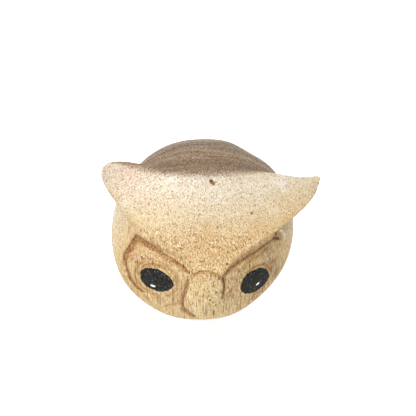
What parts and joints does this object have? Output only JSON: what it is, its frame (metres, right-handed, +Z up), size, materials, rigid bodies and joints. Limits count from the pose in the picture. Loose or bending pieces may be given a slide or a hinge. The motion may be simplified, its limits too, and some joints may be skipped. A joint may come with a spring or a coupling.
{
  "type": "owl head hood ornament",
  "caption": "Carved wooden owl head with ear tufts and painted eyes, on a gasketed flat base with a threaded stud, locating pin, washers and nut.",
  "frame": {"origin": "middle of the stud's flat lower end, which is the lowest point of the assembly and on its clamping axis; the hood skin's outside is 22 mm above it", "axes": "+Z up along the stud, out of the hood and through the head; the owl faces -Y; its ears point to -X and +X"},
  "size_m": [0.0681, 0.0628, 0.0802],
  "materials": {
    "carved_wood": "hand-carved open-pored wood with a thin satin wax, brown in the knife cuts",
    "black_paint": "satin black paint over open pores",
    "white_paint": "single dab of white paint",
    "brass": "machined",
    "zinc_steel": "zinc plated",
    "gasket_rubber": "matt"
  },
  "bodies": {
    "ornament": {"owl_head": "carved_wood", "left_eye": "black_paint", "right_eye": "black_paint", "left_glint": "white_paint", "right_glint": "white_paint", "threaded_insert": "brass", "mounting_stud": "zinc_steel", "locating_pin": "zinc_steel", "base_gasket": "gasket_rubber"},
    "washers": {"backing_washer": "zinc_steel", "spring_washer": "zinc_steel"},
    "nut": {"hex_nut": "zinc_steel"}
  },
  "joints": [
    {"name": "washers_drop", "type": "slide", "parent": "ornament", "child": "washers", "axis": [0, 0, -1], "range_m": [-0.0015, 0.008]},
    {"name": "nut_turn", "type": "hinge", "parent": "washers", "child": "nut", "pos_m": [0, 0, 0.0132], "axis": [0, 0, -1], "range_deg": [-540, 2880]}
  ],
  "couplings": [
    {"joint": "nut_turn", "follows": "washers_drop", "rad_per_m": 6283.2}
  ]
}
